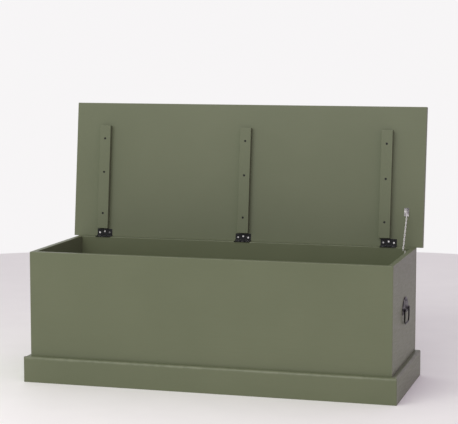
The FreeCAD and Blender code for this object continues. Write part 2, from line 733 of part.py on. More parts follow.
def turned(point, degrees):
    return Rotation(X_AXIS, degrees).multVec(point)


def stay_points():
    """The post on the side, the eye on the open lid and on the closed lid, and the hinge pin."""
    rise = worth(PIN_RISE)
    pin = Vector(0, HALF_DEPTH + size("knuckle_out"), size("body_height") + rise)
    eye = Vector(0, -size("knuckle_out") - size("stay_along"), rise - size("stay_eye_height"))
    post = Vector(0, HALF_DEPTH - size("stay_forward"), size("body_height") - size("stay_down"))
    opened = pin + turned(eye, -size("lid_open_angle"))
    closed = pin + turned(eye, size("lid_rest_angle"))
    return post, opened, closed, pin


def link(inner_radius, straight):
    """One closed link lying in the XZ plane, long along X, its middle at the origin."""
    wire_radius = size("link_wire")
    bend = inner_radius + wire_radius
    half = straight / 2
    corners = [Vector(-half, 0, bend), Vector(half, 0, bend), Vector(half, 0, -bend), Vector(-half, 0, -bend)]
    path = Part.Wire(
        [
            Part.makeLine(corners[0], corners[1]),
            Part.Arc(corners[1], Vector(half + bend, 0, 0), corners[2]).toShape(),
            Part.makeLine(corners[2], corners[3]),
            Part.Arc(corners[3], Vector(-half - bend, 0, 0), corners[0]).toShape(),
        ]
    )
    section = Part.Wire([Part.makeCircle(wire_radius, corners[0], X_AXIS)])
    return path.makePipeShell([section], True, False)


LINK_PLAY = 0.02  # air between links that pull on each other


def chain(label, x, start, direction, count, pitch):
    """A taut run of links from a fitting: one end link round the fitting, then links turned a quarter each."""
    along = Vector(0, direction.y, direction.z)
    along.normalize()
    angle = math.degrees(math.atan2(along.z, along.y))
    in_plane = Rotation(X_AXIS, angle) * Rotation(Z_AXIS, 90)
    across_plane = in_plane * Rotation(X_AXIS, 90)
    base = Vector(x, start.y, start.z)
    straight = size("end_link_straight")
    first = link(size("end_link_radius"), straight)
    first.Placement = Placement(base + along * (straight / 2), in_plane)
    inner = size("link_width") / 2
    reach = straight + size("end_link_radius")
    solids = [first]
    for i in range(count):
        piece = link(inner, pitch - 2 * inner)
        turn = across_plane if i % 2 == 0 else in_plane
        piece.Placement = Placement(base + along * (reach + pitch * (i + 0.5) - LINK_PLAY * (i + 1)), turn)
        solids.append(piece)
    feature = doc.addObject("Part::Feature", label)
    feature.Shape = Part.makeCompound(solids)
    node(feature, label)


def stay_chains():
    """Two straight runs, side by side where they meet, that fill the space between post and eye."""
    post, opened, closed, pin = stay_points()
    taut = opened - post
    ends = 2 * (size("end_link_straight") + size("end_link_radius"))
    links = round((taut.Length - ends) / size("link_length"))
    pitch = (taut.Length - ends) / links
    lower_count = int(size("lower_links"))
    lower_x = INNER_X - size("stay_post_inset")
    upper_x = INNER_X - size("stay_eye_inset")
    chain("stay_lower_chain", lower_x, post, taut, lower_count, pitch)
    chain("stay_upper_chain", upper_x, opened, taut * -1, links - lower_count, pitch)

    # closed, the two runs and the line between post and eye make a triangle that hangs down
    lower = ends / 2 + pitch * lower_count
    upper = ends / 2 + pitch * (links - lower_count)
    base = closed - post
    corner = math.acos((lower**2 + base.Length**2 - upper**2) / (2 * lower * base.Length))
    taut_angle = math.atan2(taut.z, taut.y)
    lower_angle = math.atan2(base.z, base.y) - corner
    foot = post + Vector(0, math.cos(lower_angle), math.sin(lower_angle)) * lower
    from_eye = foot - closed
    upper_angle = math.atan2(from_eye.z, from_eye.y) % (2 * math.pi)
    swing = math.radians(size("lid_open_angle") + size("lid_rest_angle"))
    lower_turn = lower_angle - taut_angle
    upper_turn = upper_angle - (taut_angle + math.pi) - swing
    print("links", links, "pitch", round(pitch, 3), "lower", round(lower, 2), "upper", round(upper, 2))
    print("pin", pin, "post", post, "eye", opened, "lower x", lower_x, "upper x", upper_x)
    print("lid swing", math.degrees(swing))
    print("lower chain turn", math.degrees(lower_turn), "ratio", lower_turn / swing)
    print("upper chain turn on the lid", math.degrees(upper_turn), "ratio", upper_turn / swing)


def stay_lid_fitting():
    """A plate under the lid with a bent eye, and its two screws."""
    x = "Sizes.body_length / 2 - Sizes.board - Sizes.stay_eye_inset"
    along = "-Sizes.knuckle_out - Sizes.stay_along"
    plate_at = (
        x + " - Sizes.stay_plate_shift - Sizes.stay_plate_width / 2",
        along + " - Sizes.stay_plate_length / 2",
        PIN_RISE + " - Sizes.stay_plate",
    )
    lengths = ("Sizes.stay_plate_width", "Sizes.stay_plate_length", "Sizes.stay_plate")
    plate = box("stay_eye_base", lengths, plate_at)
    crown = PIN_RISE + " - Sizes.stay_eye_height + Sizes.stay_eye_radius"
    eye = doc.addObject("Part::Torus", "stay_eye_bend")
    eye.Placement = Placement(Vector(), Rotation(X_AXIS, -90))
    bind(
        eye,
        Radius1="Sizes.stay_eye_radius",
        Radius2="Sizes.stay_bar_radius",
        Placement__Base__x=x,
        Placement__Base__y=along,
        Placement__Base__z=crown,
    )
    eye.Angle3 = 180
    leg_length = "Sizes.stay_eye_height - Sizes.stay_eye_radius - Sizes.stay_plate / 2"
    pieces = [plate, eye]
    for i in (-1, 1):
        leg_at = ("%s + %d * Sizes.stay_eye_radius" % (x, i), along, crown)
        name = "stay_eye_leg_%d" % (i + 2)
        pieces.append(cylinder(name, "Sizes.stay_bar_radius", leg_length, leg_at, Z_AXIS))
    x_now = INNER_X - size("stay_eye_inset") - size("stay_plate_shift")
    y_now = -size("knuckle_out") - size("stay_along")
    z_now = worth(PIN_RISE) - size("stay_plate")
    spots = [(Vector(x_now, y_now + i * size("stay_screw_spread"), z_now), Z_AXIS) for i in (-1, 1)]
    held, holes = screws("stay_lid_screws", "stay", size("stay_screw_length"), spots)
    on_lid(held)
    fitting = cut("stay_lid_eye", fuse("stay_eye_whole", pieces), [holes])
    node(on_lid(fitting), "stay_lid_eye")
    return holes


def stay_side_fitting():
    """A plate on the right side's inner face with a headed post, and its two screws."""
    face = "Sizes.body_length / 2 - Sizes.board"
    y = "Sizes.body_depth / 2 - Sizes.stay_forward"
    z = "Sizes.body_height - Sizes.stay_down"
    corner = (
        face + " - Sizes.stay_plate",
        y + " - Sizes.stay_plate_width / 2",
        z + " - Sizes.stay_plate_length / 2",
    )
    lengths = ("Sizes.stay_plate", "Sizes.stay_plate_width", "Sizes.stay_plate_length")
    plate = box("stay_post_base", lengths, corner)
    reach = "(Sizes.stay_post_inset + 3 * Sizes.link_wire)"
    post = cylinder("stay_post_bar", "Sizes.stay_bar_radius", reach, (face, y, z), -X_AXIS)
    head_at = ("%s - %s" % (face, reach), y, z)
    head = cylinder("stay_post_head", "Sizes.stay_post_head", "Sizes.stay_plate", head_at, -X_AXIS)
    inner = INNER_X - size("stay_plate")
    post_at, _, _, _ = stay_points()
    spots = [(Vector(inner, post_at.y, post_at.z + i * size("stay_screw_spread")), X_AXIS) for i in (-1, 1)]
    _, holes = screws("stay_side_screws", "stay", size("stay_screw_length"), spots)
    node(cut("stay_side_post", fuse("stay_post_whole", [plate, post, head]), [holes]), "stay_side_post")
    return holes


# ----------------------------------------------------------------------------------------------------- assembly

hinge_holes = hinge_screws()
stay_side_holes = stay_side_fitting()
stay_lid_holes = stay_lid_fitting()
cleats_and_boards(stay_side_holes, handles())
plinth()
hinges(hinge_holes)
lid(hinge_holes["upper"], stay_lid_holes)
stay_chains()
doc.recompute()

for feature in doc.Objects:
    if "Invalid" in feature.State or "Error" in feature.State:
        raise RuntimeError("%s failed: %s" % (feature.Label, feature.State))
for feature in NODES:
    if feature.Shape.isNull() or not feature.Shape.isValid():
        raise RuntimeError("%s has no valid shape" % feature.Label)

os.makedirs("parts", exist_ok=True)
for feature in NODES:
    feature.Shape.exportStep("parts/%s.step" % feature.Label)
print(len(NODES), "nodes", sum(len(f.Shape.Solids) for f in NODES), "solids")
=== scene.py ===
"""A painted wooden toy box with its lid open: soft-edged boards, hardware finishes and a plain studio."""

import json
import math

import bmesh
import bpy
from mathutils import Matrix, Vector


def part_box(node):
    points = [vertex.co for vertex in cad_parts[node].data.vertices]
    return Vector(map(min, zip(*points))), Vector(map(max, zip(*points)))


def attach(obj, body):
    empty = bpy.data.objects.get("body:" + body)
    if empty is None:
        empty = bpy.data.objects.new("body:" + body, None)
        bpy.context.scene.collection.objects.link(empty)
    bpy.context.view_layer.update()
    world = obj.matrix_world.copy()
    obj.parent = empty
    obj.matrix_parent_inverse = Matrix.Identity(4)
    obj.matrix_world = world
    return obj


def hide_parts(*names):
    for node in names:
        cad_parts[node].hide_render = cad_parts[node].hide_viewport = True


bl_info = {
    "name": "Painted Toy Box",
    "version": (1, 0, 0),
    "blender": (4, 5, 0),
    "location": "3D View > Sidebar > Toy Box",
    "description": "Dresses a packed toy box with painted boards, metal finishes and a studio",
    "category": "Object",
}

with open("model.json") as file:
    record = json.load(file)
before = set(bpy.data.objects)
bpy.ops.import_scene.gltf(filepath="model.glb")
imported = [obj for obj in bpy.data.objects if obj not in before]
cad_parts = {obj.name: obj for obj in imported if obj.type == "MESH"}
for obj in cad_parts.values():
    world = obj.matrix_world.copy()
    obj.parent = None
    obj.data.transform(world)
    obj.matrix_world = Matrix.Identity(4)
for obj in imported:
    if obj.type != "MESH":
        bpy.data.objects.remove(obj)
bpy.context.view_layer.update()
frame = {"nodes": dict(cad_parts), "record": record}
BODIES = {node: body for body, nodes in frame["record"]["behaviour"]["bodies"].items() for node in nodes}


def lid_lean():
    """How far the open lid leans back, from the slope of its broad face."""
    broad = max(frame["nodes"]["lid_panel"].data.polygons, key=lambda face: face.area)
    return math.atan2(abs(broad.normal.z), abs(broad.normal.y))


# -------------------------------------------------------------------------------------------- sizes


class ToyBoxPaint(bpy.types.PropertyGroup):
    """The paint, and how far the sanded edges of the boards are rounded"""

    colour: bpy.props.FloatVectorProperty(
        name="Paint",
        description="Olive green of the paint",
        subtype="COLOR",
        size=3,
        default=(0.1278, 0.1466, 0.0772),
    )
    shade: bpy.props.FloatVectorProperty(
        name="Shade",
        description="Where the coat is thicker",
        subtype="COLOR",
        size=3,
        default=(0.1160, 0.1350, 0.0693),
    )
    worn: bpy.props.FloatVectorProperty(
        name="Worn edge",
        description="Paint on the sanded edges",
        subtype="COLOR",
        size=3,
        default=(0.1567, 0.1752, 0.0995),
    )
    roughness: bpy.props.FloatProperty(
        name="Roughness", description="Satin of the paint", default=0.42, min=0, max=1
    )
    edge: bpy.props.FloatProperty(
        name="Edge", description="Radius of an exposed edge", default=0.0015, min=0, unit="LENGTH"
    )
    seam: bpy.props.FloatProperty(
        name="Seam",
        description="Radius of an edge that meets another board",
        default=0.0003,
        min=0,
        unit="LENGTH",
    )
    plinth_edge: bpy.props.FloatProperty(
        name="Plinth edge",
        description="Radius of the plinth's outer top edge",
        default=0.009,
        min=0,
        unit="LENGTH",
    )


class ToyBoxWood(bpy.types.PropertyGroup):
    """Colours of the bare softwood inside"""

    early: bpy.props.FloatVectorProperty(
        name="Early wood", description="Pale bands", subtype="COLOR", size=3, default=(0.60, 0.42, 0.24)
    )
    late: bpy.props.FloatVectorProperty(
        name="Late wood", description="Dark bands", subtype="COLOR", size=3, default=(0.47, 0.29, 0.14)
    )
    fibre: bpy.props.FloatVectorProperty(
        name="Fibre", description="Fine dark streaks", subtype="COLOR", size=3, default=(0.40, 0.25, 0.12)
    )


class ToyBoxMetal(bpy.types.PropertyGroup):
    """Colours of the hardware, and how far its edges are rounded"""

    black: bpy.props.FloatVectorProperty(
        name="Black",
        description="Black of the hinges and handles",
        subtype="COLOR",
        size=3,
        default=(0.012, 0.012, 0.013),
    )
    rubbed: bpy.props.FloatVectorProperty(
        name="Rubbed",
        description="Iron where the black has worn",
        subtype="COLOR",
        size=3,
        default=(0.19, 0.185, 0.18),
    )
    zinc: bpy.props.FloatVectorProperty(
        name="Zinc", description="Screw heads", subtype="COLOR", size=3, default=(0.86, 0.85, 0.82)
    )
    nickel: bpy.props.FloatVectorProperty(
        name="Nickel", description="Plates of the stay", subtype="COLOR", size=3, default=(0.80, 0.78, 0.75)
    )
    chain: bpy.props.FloatVectorProperty(
        name="Chain", description="Links of the stay", subtype="COLOR", size=3, default=(0.90, 0.90, 0.85)
    )
    # Tarnish on the nickel plates. On the zinc screw heads the same colour is painted shade, so some heads
    # lack a glint.
    tarnish_and_shade: bpy.props.FloatVectorProperty(
        name="Dull", description="Tarnished metal", subtype="COLOR", size=3, default=(0.14, 0.135, 0.14)
    )
    edge: bpy.props.FloatProperty(
        name="Edge", description="Radius of the hardware's edges", default=0.0003, min=0, unit="LENGTH"
    )


class ToyBoxStage(bpy.types.PropertyGroup):
    """Floor, lights and camera"""

    floor: bpy.props.FloatVectorProperty(
        name="Floor", description="Colour of the floor", subtype="COLOR", size=3, default=(0.93, 0.935, 0.87)
    )
    # Painted light: brighter than the floor, to make up for the weaker light from the right.
    floor_right_painted_light: bpy.props.FloatVectorProperty(
        name="Floor, right",
        description="Colour of the floor far to the right",
        subtype="COLOR",
        size=3,
        default=(0.95, 0.965, 0.88),
    )
    floor_radius: bpy.props.FloatProperty(
        name="Floor radius", description="Radius of the round floor", default=3.2, min=0, unit="LENGTH"
    )
    backdrop: bpy.props.FloatVectorProperty(
        name="Backdrop",
        description="Colour seen behind the box",
        subtype="COLOR",
        size=3,
        default=(0.93, 0.915, 0.922),
    )
    fill: bpy.props.FloatVectorProperty(
        name="Fill",
        description="Light from the left and front",
        subtype="COLOR",
        size=3,
        default=(0.735, 0.735, 0.735),
    )
    fill_right: bpy.props.FloatVectorProperty(
        name="Fill, right",
        description="Light from the right",
        subtype="COLOR",
        size=3,
        default=(0.605, 0.460, 0.67),
    )
    key: bpy.props.FloatProperty(
        name="Key", description="Watts of the soft panel above the front", default=54.0, min=0
    )
    key_width: bpy.props.FloatProperty(
        name="Key width", description="Length of the soft panel", default=3.5, min=0, unit="LENGTH"
    )
    key_height: bpy.props.FloatProperty(
        name="Key height", description="Height of the soft panel", default=1.0, min=0, unit="LENGTH"
    )
    key_place: bpy.props.FloatVectorProperty(
        name="Key place",
        description="Middle of the soft panel",
        subtype="TRANSLATION",
        size=3,
        default=(-0.4, -2.4, 2.6),
    )
    key_target: bpy.props.FloatVectorProperty(
        name="Key target",
        description="Point that the soft panel shines at",
        subtype="TRANSLATION",
        size=3,
        default=(0, 0, 0.4),
    )
    azimuth: bpy.props.FloatProperty(
        name="Azimuth",
        description="Camera, round from the front",
        default=math.radians(15.88),
        unit="ROTATION",
    )
    elevation: bpy.props.FloatProperty(
        name="Elevation", description="Camera, up from level", default=math.radians(6.44), unit="ROTATION"
    )
    distance: bpy.props.FloatProperty(
        name="Distance", description="Camera to the point it looks at", default=4.939, unit="LENGTH"
    )
    lens: bpy.props.FloatProperty(
        name="Lens", description="Focal length in millimetres", default=123.7, min=1
    )
    target: bpy.props.FloatVectorProperty(
        name="Target",
        description="Point that the camera looks at",
        subtype="TRANSLATION",
        size=3,
        default=(0.0772, -0.2225, 0.5815),
    )


# ---------------------------------------------------------------------------------------- materials


class Finish:
    """A material's node tree, with short calls for the nodes that the finishes share."""

    def __init__(self, name):
        self.material = bpy.data.materials.new(name)
        self.material.use_nodes = True
        self.nodes = self.material.node_tree.nodes
        self.links = self.material.node_tree.links
        self.shader = self.nodes["Principled BSDF"]
        self.place = self.nodes.new("ShaderNodeTexCoord").outputs["Object"]

    def link(self, source, target):
        """Joins an output to an input."""
        self.links.new(source, target)

    def scaled(self, scale):
        """Object coordinates stretched by a scale for each axis."""
        mapping = self.nodes.new("ShaderNodeMapping")
        mapping.inputs["Scale"].default_value = scale
        self.link(self.place, mapping.inputs["Vector"])
        return mapping.outputs["Vector"]

    def noise(self, scale, detail=4.0, roughness=0.5, stretch=(1, 1, 1)):
        """A factor that varies smoothly from place to place."""
        texture = self.nodes.new("ShaderNodeTexNoise")
        texture.inputs["Scale"].default_value = scale
        texture.inputs["Detail"].default_value = detail
        texture.inputs["Roughness"].default_value = roughness
        self.link(self.scaled(stretch), texture.inputs["Vector"])
        return texture.outputs["Fac"]

    def ramp(self, source, low, high, dark=0.0, light=1.0):
        """Maps a factor from low..high to dark..light, held at both ends."""
        steps = self.nodes.new("ShaderNodeMapRange")
        for name, value in (("From Min", low), ("From Max", high), ("To Min", dark), ("To Max", light)):
            steps.inputs[name].default_value = value
        self.link(source, steps.inputs["Value"])
        return steps.outputs["Result"]

    def blend(self, factor, first, second):
        """A colour between two, each a colour or another node's output."""
        mix = self.nodes.new("ShaderNodeMix")
        mix.data_type = "RGBA"
        self.link(factor, mix.inputs["Factor"])
        for socket, value in ((mix.inputs[6], first), (mix.inputs[7], second)):
            if isinstance(value, bpy.types.NodeSocket):
                self.link(value, socket)
            else:
                socket.default_value = (*value, 1.0)
        return mix.outputs[2]

    def add(self, first, second, weight):
        """first plus weight times second."""
        sum_up = self.nodes.new("ShaderNodeMath")
        sum_up.operation = "MULTIPLY_ADD"
        self.link(second, sum_up.inputs[0])
        sum_up.inputs[1].default_value = weight
        self.link(first, sum_up.inputs[2])
        return sum_up.outputs["Value"]

    def bump(self, height, distance, strength):
        """Raises the surface by a factor, seen in its shading only."""
        relief = self.nodes.new("ShaderNodeBump")
        relief.inputs["Strength"].default_value = strength
        relief.inputs["Distance"].default_value = distance
        self.link(height, relief.inputs["Height"])
        self.link(relief.outputs["Normal"], self.shader.inputs["Normal"])


# Brush marks and fibres are this many times finer across the grain than along it.
ACROSS = 14
GRAIN = {"x": (1, ACROSS, ACROSS), "y": (ACROSS, 1, ACROSS), "z": (ACROSS, ACROSS, 1)}
RINGS = {"x": "Y", "y": "X"}
# A rubbed spot, a tarnished spot or a patch of painted shade on a screw head fades into the rest over this
# share of the noise.
SPOT_FADE = 0.16
# Darker places in the mottle of a metal and in the speckle of the floor, as a share of the colour.
MOTTLE_SHADE = 0.80
SPECKLE_SHADE = 0.95


def painted(axis, worn=False):
    """Satin paint over wood whose grain runs along an axis: brush streaks, faint grain and an uneven coat."""
    name = "painted_%s%s" % (axis, "_edge" if worn else "")
    if name in bpy.data.materials:
        return bpy.data.materials[name]
    paint = bpy.context.scene.toy_box_paint
    finish = Finish(name)
    coat = finish.ramp(finish.noise(scale=3.0, detail=3), low=0.35, high=0.65)
    brush = finish.noise(scale=22.0, detail=5, roughness=0.6, stretch=GRAIN[axis])
    grain = finish.noise(scale=4.0, detail=6, roughness=0.55, stretch=GRAIN[axis])
    body = finish.blend(coat, tuple(paint.shade), tuple(paint.colour))
    if worn:
        rubbing = finish.ramp(finish.noise(scale=35.0, detail=5, roughness=0.6), low=0.40, high=0.60)
        body = finish.blend(rubbing, body, tuple(paint.worn))
    streaks = finish.ramp(brush, low=0.35, high=0.7, light=0.35)
    finish.link(finish.blend(streaks, body, tuple(paint.shade)), finish.shader.inputs["Base Color"])
    smooth, rough = paint.roughness - 0.05, paint.roughness + 0.07
    satin = finish.ramp(brush, low=0.3, high=0.7, dark=smooth, light=rough)
    finish.link(satin, finish.shader.inputs["Roughness"])
    fine = finish.noise(scale=900.0, detail=2)
    marks = finish.add(grain, brush, weight=0.35)
    finish.bump(finish.add(marks, fine, weight=0.04), distance=0.00045, strength=0.35)
    return finish.material


def bare_wood(axis):
    """Planed softwood, with long growth rings."""
    name = "pine_" + axis
    if name in bpy.data.materials:
        return bpy.data.materials[name]
    softwood = bpy.context.scene.toy_box_wood
    finish = Finish(name)
    rings = finish.nodes.new("ShaderNodeTexWave")
    rings.bands_direction = RINGS[axis]
    rings.inputs["Scale"].default_value = 60.0
    rings.inputs["Distortion"].default_value = 6.0
    rings.inputs["Detail"].default_value = 3.0
    finish.link(finish.scaled(tuple(v / ACROSS for v in GRAIN[axis])), rings.inputs["Vector"])
    fibres = finish.noise(scale=60.0, detail=5, stretch=GRAIN[axis])
    bands = finish.ramp(rings.outputs["Fac"], low=0.1, high=0.9)
    wood = finish.blend(bands, tuple(softwood.early), tuple(softwood.late))
    streaks = finish.ramp(fibres, low=0.3, high=0.7, light=0.3)
    finish.link(finish.blend(streaks, wood, tuple(softwood.fibre)), finish.shader.inputs["Base Color"])
    finish.shader.inputs["Roughness"].default_value = 0.62
    finish.bump(fibres, distance=0.0002, strength=0.4)
    return finish.material


def metal(
    name, colour, roughness, grain=260.0, relief=0.00003, metallic=1.0, spots=None, spread=0.50, patch=90.0
):
    """A metal or blackened finish: mottled sheen, fine relief and, where asked, spots of another colour."""
    if name in bpy.data.materials:
        return bpy.data.materials[name]
    finish = Finish(name)
    mottle = finish.noise(scale=grain)
    finish.shader.inputs["Metallic"].default_value = metallic
    smooth, rough = roughness - 0.06, roughness + 0.1
    sheen = finish.ramp(mottle, low=0.3, high=0.7, dark=smooth, light=rough)
    finish.link(sheen, finish.shader.inputs["Roughness"])
    if spots:
        patches = finish.noise(scale=patch, detail=5, roughness=0.65)
        share = finish.ramp(patches, low=spread, high=spread + SPOT_FADE)
        other = tuple(spots)
    else:
        share = finish.ramp(mottle, low=0.3, high=0.7)
        other = tuple(MOTTLE_SHADE * c for c in colour)
    finish.link(finish.blend(share, tuple(colour), other), finish.shader.inputs["Base Color"])
    finish.bump(mottle, distance=relief, strength=0.5)
    return finish.material


def dress(node, material):
    """Gives a CAD piece one finish."""
    mesh = frame["nodes"][node].data
    mesh.materials.clear()
    mesh.materials.append(material)


def nodes_named(*starts):
    """The frame's nodes whose names start in one of these ways."""
    return [name for name in frame["nodes"] if name.startswith(starts)]


# ------------------------------------------------------------------------------------------- boards


# Corners of a CAD mesh that are closer than this are one corner.
MERGE = 1e-6
# Faces that meet at a smaller angle than FLAT are one face; edges with a larger one than SHARP stay sharp.
FLAT = math.radians(0.3)
SHARP = math.radians(40)
# Shorter edges of the softwood and the battens, round the screw holes, stay crisp.
SHORT_EDGE = 0.01
HINGE_SHORT_EDGE = 0.0015
# A batten's edge radius as a share of a board's.
BATTEN_SHARE = 0.7


def round_edges(piece, width, segments):
    """Rounds the edges that carry a bevel weight, and gives the rounding the piece's second finish."""
    bevel = piece.modifiers.new("sanded_edges", "BEVEL")
    bevel.limit_method = "WEIGHT"
    bevel.width = width
    bevel.segments = segments
    bevel.material = 1
    bevel.use_clamp_overlap = False
    bevel.harden_normals = True


def piece_from(shape, node, ending, finishes):
    """Turns a bmesh into the visible piece of a CAD node, on the node's own body."""
    mesh = bpy.data.meshes.new("%s_%s" % (node, ending))
    shape.to_mesh(mesh)
    shape.free()
    mesh.shade_smooth()
    for finish in finishes:
        mesh.materials.append(finish)
    piece = bpy.data.objects.new(mesh.name, mesh)
    bpy.context.scene.collection.objects.link(piece)
    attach(piece, BODIES[node])
    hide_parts(node)
    return piece


def softened(node, finishes, width=None, shortest=0.0):
    """A merged copy of a CAD piece, smooth where it is curved and, given a width, rounded at sharp edges."""
    shape = bmesh.new()
    shape.from_mesh(frame["nodes"][node].data)
    bmesh.ops.remove_doubles(shape, verts=shape.verts, dist=MERGE)
    bmesh.ops.dissolve_limit(shape, angle_limit=FLAT, verts=shape.verts, edges=shape.edges)
    weight = shape.edges.layers.float.new("bevel_weight_edge")
    for line in shape.edges:
        sharp = line.calc_face_angle(0.0) > SHARP
        line[weight] = float(sharp and line.calc_length() > shortest)
        line.smooth = not sharp
    piece = piece_from(shape, node, "finished", finishes)
    if width:
        round_edges(piece, width, segments=2)


def soft_board(node, axis, exposed, lean=0.0, mitres=(), radius=None, segments=3):
    """A painted board; exposed gives an edge's share of the full radius from the corners at its ends."""
    turn = Matrix.Rotation(lean, 4, "X")
    rest = [turn @ vertex.co for vertex in frame["nodes"][node].data.vertices]
    low = Vector([min(v[i] for v in rest) for i in range(3)])
    high = Vector([max(v[i] for v in rest) for i in range(3)])
    centre = (low + high) / 2
    shape = bmesh.new()
    extent = Matrix.Diagonal((*(high - low), 1))
    bmesh.ops.create_cube(shape, size=1.0, matrix=Matrix.Translation(centre) @ extent)
    signs = {v: [1 if v.co[i] > centre[i] else -1 for i in range(3)] for v in shape.verts}
    for pick, shift in mitres:
        picked = [vertex for vertex, sign in signs.items() if pick(sign)]
        bmesh.ops.translate(shape, verts=picked, vec=shift)
    weight = shape.edges.layers.float.new("bevel_weight_edge")
    for line in shape.edges:
        line[weight] = min(1.0, exposed(*(signs[v] for v in line.verts)))
    bmesh.ops.transform(shape, matrix=turn.inverted(), verts=shape.verts)
    piece = piece_from(shape, node, "painted", (painted(axis), painted(axis, worn=True)))
    round_edges(piece, radius or bpy.context.scene.toy_box_paint.edge, segments)


def edge_share():
    """A seam's radius as a share of an exposed edge's."""
    paint = bpy.context.scene.toy_box_paint
    return paint.seam / paint.edge


def rim(first, second):
    """Rounds the edges round a board's top, and leaves the rest as tight seams."""
    return 1.0 if first[2] == second[2] == 1 else edge_share()


class ToyBoxBoards(bpy.types.Operator):
    """Front, back and side boards and the bottom panel, with sanded edges and satin paint"""

    bl_idname = "toy_box.boards"
    bl_label = "Boards"

    def execute(self, context):
        for node, outward in (("front_board", -1), ("back_board", 1)):

            def exposed(first, second, outward=outward):
                on_top = first[2] == second[2] == 1
                corner = first[0] == second[0] and first[1] == second[1] == outward
                return 1.0 if on_top or corner else edge_share()

            soft_board(node, "x", exposed)
        for node in ("left_side_board", "right_side_board"):
            soft_board(node, "y", rim)
        soft_board("bottom_panel", "x", lambda first, second: edge_share())
        return {"FINISHED"}


class ToyBoxPlinth(bpy.types.Operator):
    """Three plinth boards, mitred at the front, with a rounded outer top edge"""

    bl_idname = "toy_box.plinth"
    bl_label = "Plinth"

    def execute(self, context):
        paint = context.scene.toy_box_paint
        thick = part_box("plinth_front")[1][1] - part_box("plinth_front")[0][1]
        share = paint.edge / paint.plinth_edge

        def front(first, second):
            if first[1] == second[1] == -1 and first[2] == second[2] == 1:
                return 1.0
            return share * (1.0 if first[0] == second[0] and first[1] == second[1] == -1 else edge_share())

        mitres = [
            (lambda sign: sign[1] == 1 and sign[0] == -1, (thick, 0, 0)),
            (lambda sign: sign[1] == 1 and sign[0] == 1, (-thick, 0, 0)),
        ]
        soft_board("plinth_front", "x", front, mitres=mitres, radius=paint.plinth_edge, segments=8)
        for node, outward in (("plinth_left", -1), ("plinth_right", 1)):

            def side(first, second, outward=outward):
                if first[0] == second[0] == outward and first[2] == second[2] == 1:
                    return 1.0
                return share * (1.0 if first[1] == second[1] == 1 else edge_share())

            inner = [(lambda sign, outward=outward: sign[1] == -1 and sign[0] == -outward, (0, thick, 0))]
            soft_board(node, "y", side, mitres=inner, radius=paint.plinth_edge, segments=8)
        return {"FINISHED"}


class ToyBoxLid(bpy.types.Operator):
    """Lid panel, square to the lean of the open lid, and its three battens with their screw holes"""

    bl_idname = "toy_box.lid"
    bl_label = "Lid"

    def execute(self, context):
        paint = context.scene.toy_box_paint
        soft_board("lid_panel", "x", lambda first, second: 1.0, lean=lid_lean())
        paints = (painted("z"), painted("z", worn=True))
        for node in nodes_named("lid_batten_"):
            softened(node, paints, BATTEN_SHARE * paint.edge, shortest=SHORT_EDGE)
        return {"FINISHED"}


class ToyBoxCarcass(bpy.types.Operator):
    """Hidden softwood: cleats, centre bearer and corner dowels"""

    bl_idname = "toy_box.carcass"
    bl_label = "Cleats, bearer and dowels"

    def execute(self, context):
        edge = context.scene.toy_box_paint.edge
        for node in nodes_named("cleat_front", "cleat_back"):
            softened(node, (bare_wood("x"), bare_wood("x")), edge, shortest=SHORT_EDGE)
        for node in nodes_named("cleat_left", "cleat_right", "centre_bearer"):
            softened(node, (bare_wood("y"), bare_wood("y")), edge, shortest=SHORT_EDGE)
        for node in nodes_named("dowels_"):
            dress(node, bare_wood("y"))
        return {"FINISHED"}


class ToyBoxHinges(bpy.types.Operator):
    """Black butt hinges, with their edges rubbed, and their pins"""

    bl_idname = "toy_box.hinges"
    bl_label = "Hinges"

    def execute(self, context):
        metals = context.scene.toy_box_metal
        black = metal("hinge_black", metals.black, 0.28, metallic=0.55)
        rubbed = metal("hinge_edge", metals.black, 0.26, metallic=0.85, spots=metals.rubbed, spread=0.44)
        for node in nodes_named("hinge_left", "hinge_middle", "hinge_right"):
            softened(node, (black, rubbed), metals.edge, shortest=HINGE_SHORT_EDGE)
        return {"FINISHED"}


class ToyBoxHandles(bpy.types.Operator):
    """Cast drop handles, black and rubbed to grey"""

    bl_idname = "toy_box.handles"
    bl_label = "Handles"

    def execute(self, context):
        metals = context.scene.toy_box_metal
        black, worn = metals.black, metals.rubbed
        plate = metal("cast_plate", black, 0.42, grain=420, relief=0.0002, metallic=0.6, spots=worn)
        bail = metal("cast_bail", black, 0.36, grain=420, relief=0.0001, metallic=0.95)
        rubbed = metal(
            "cast_edge", black, 0.38, grain=420, relief=0.0001, metallic=0.8, spots=worn, spread=0.40
        )
        for node in nodes_named("handle_"):
            if node.endswith("_screws"):
                dress(node, plate)
            else:
                face = bail if node.endswith("_bail") else plate
                softened(node, (face, rubbed), metals.edge)
        return {"FINISHED"}


class ToyBoxStay(bpy.types.Operator):
    """Nickel chain stay with its eye and post"""

    bl_idname = "toy_box.stay"
    bl_label = "Chain stay"

    def execute(self, context):
        metals = context.scene.toy_box_metal
        nickel = metal("nickel", metals.nickel, 0.36, spots=metals.tarnish_and_shade, spread=0.38)
        bright = metal("nickel_edge", metals.nickel, 0.16)
        links = metal("chain_nickel", metals.chain, 0.30, metallic=0.35)
        for node in nodes_named("stay_lid_eye", "stay_side_post"):
            softened(node, (nickel, bright), metals.edge)
        for node in nodes_named("stay_lower_chain", "stay_upper_chain"):
            softened(node, (links,))
        for node in nodes_named("stay_lid_screws", "stay_side_screws"):
            dress(node, nickel)
        return {"FINISHED"}


